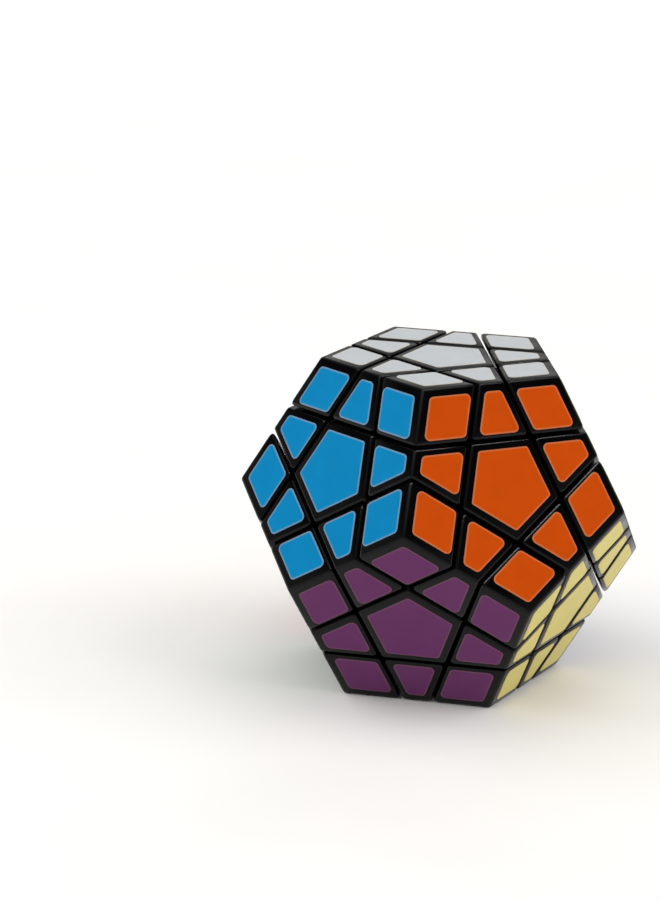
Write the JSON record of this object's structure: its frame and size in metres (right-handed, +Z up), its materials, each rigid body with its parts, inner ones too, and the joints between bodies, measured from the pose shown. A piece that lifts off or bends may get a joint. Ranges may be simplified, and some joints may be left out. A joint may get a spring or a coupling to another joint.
{
  "type": "dodecahedron twisty puzzle",
  "caption": "Dodecahedron twisty puzzle: black plastic centres, edges and corners with coloured stickers, in face layers that turn about their own axes.",
  "frame": {"origin": "centre of the face it rests on, at the bottom of its box", "axes": "+Z up through the centres of the white and grey faces, -Y towards the purple face, +X to the right as seen from the purple face"},
  "size_m": [0.0794, 0.0836, 0.068],
  "materials": {
    "black_plastic": "satin",
    "core_plastic": "satin",
    "screw_steel": "satin",
    "spring_steel": "satin",
    "sticker_grey": "satin",
    "sticker_sky": "satin",
    "sticker_orange": "satin",
    "sticker_green": "satin",
    "sticker_pink": "satin",
    "sticker_cream": "satin",
    "sticker_purple": "satin",
    "sticker_yellow": "satin",
    "sticker_navy": "satin",
    "sticker_red": "satin",
    "sticker_pine": "satin",
    "sticker_white": "satin"
  },
  "bodies": {
    "resting_body": {"centre_cream": "black_plastic", "centre_green": "black_plastic", "centre_orange": "black_plastic", "centre_pine": "black_plastic", "centre_pink": "black_plastic", "centre_red": "black_plastic", "centre_sky": "black_plastic", "centre_white": "black_plastic", "centre_yellow": "black_plastic", "core": "core_plastic", "corner_and_edges_white_red_pine": "black_plastic", "corner_cream_red_pine": "black_plastic", "corner_orange_green_yellow": "black_plastic", "corner_pink_cream_red": "black_plastic", "corner_sky_cream_pine": "black_plastic", "edge_cream_pine": "black_plastic", "edge_cream_red": "black_plastic", "edge_green_pink": "black_plastic", "edge_green_yellow": "black_plastic", "edge_orange_green": "black_plastic", "edge_orange_yellow": "black_plastic", "edge_pink_cream": "black_plastic", "edge_pink_red": "black_plastic", "edge_sky_cream": "black_plastic", "edge_sky_orange": "black_plastic", "edge_sky_pine": "black_plastic", "edge_white_yellow": "black_plastic"},
    "top_layer": {"centre_grey": "black_plastic", "corner_grey_green_pink": "black_plastic", "corner_grey_orange_green": "black_plastic", "corner_grey_pink_cream": "black_plastic", "corner_grey_sky_cream": "black_plastic", "corner_grey_sky_orange": "black_plastic", "edge_grey_cream": "black_plastic", "edge_grey_green": "black_plastic", "edge_grey_orange": "black_plastic", "edge_grey_pink": "black_plastic", "edge_grey_sky": "black_plastic"},
    "front_layer": {"centre_purple": "black_plastic", "corner_orange_purple_yellow": "black_plastic", "corner_sky_orange_purple": "black_plastic", "corner_sky_purple_pine": "black_plastic", "corner_white_purple_pine": "black_plastic", "corner_white_purple_yellow": "black_plastic", "edge_orange_purple": "black_plastic", "edge_purple_pine": "black_plastic", "edge_purple_yellow": "black_plastic", "edge_sky_purple": "black_plastic", "edge_white_purple": "black_plastic"},
    "back_layer": {"centre_navy": "black_plastic", "corner_green_pink_navy": "black_plastic", "corner_green_yellow_navy": "black_plastic", "corner_pink_navy_red": "black_plastic", "corner_white_navy_red": "black_plastic", "corner_white_yellow_navy": "black_plastic", "edge_green_navy": "black_plastic", "edge_navy_red": "black_plastic", "edge_pink_navy": "black_plastic", "edge_white_navy": "black_plastic", "edge_yellow_navy": "black_plastic"}
  },
  "joints": [
    {"name": "top_turn", "type": "hinge", "parent": "resting_body", "child": "top_layer", "pos_m": [0, 0, 0.034], "axis": [0, 0, 1], "continuous": true},
    {"name": "front_turn", "type": "hinge", "parent": "resting_body", "child": "front_layer", "pos_m": [0, 0, 0.034], "axis": [0, -0.8944, -0.4472], "continuous": true},
    {"name": "back_turn", "type": "hinge", "parent": "resting_body", "child": "back_layer", "pos_m": [0, 0, 0.034], "axis": [0.5257, 0.7236, -0.4472], "continuous": true}
  ]
}
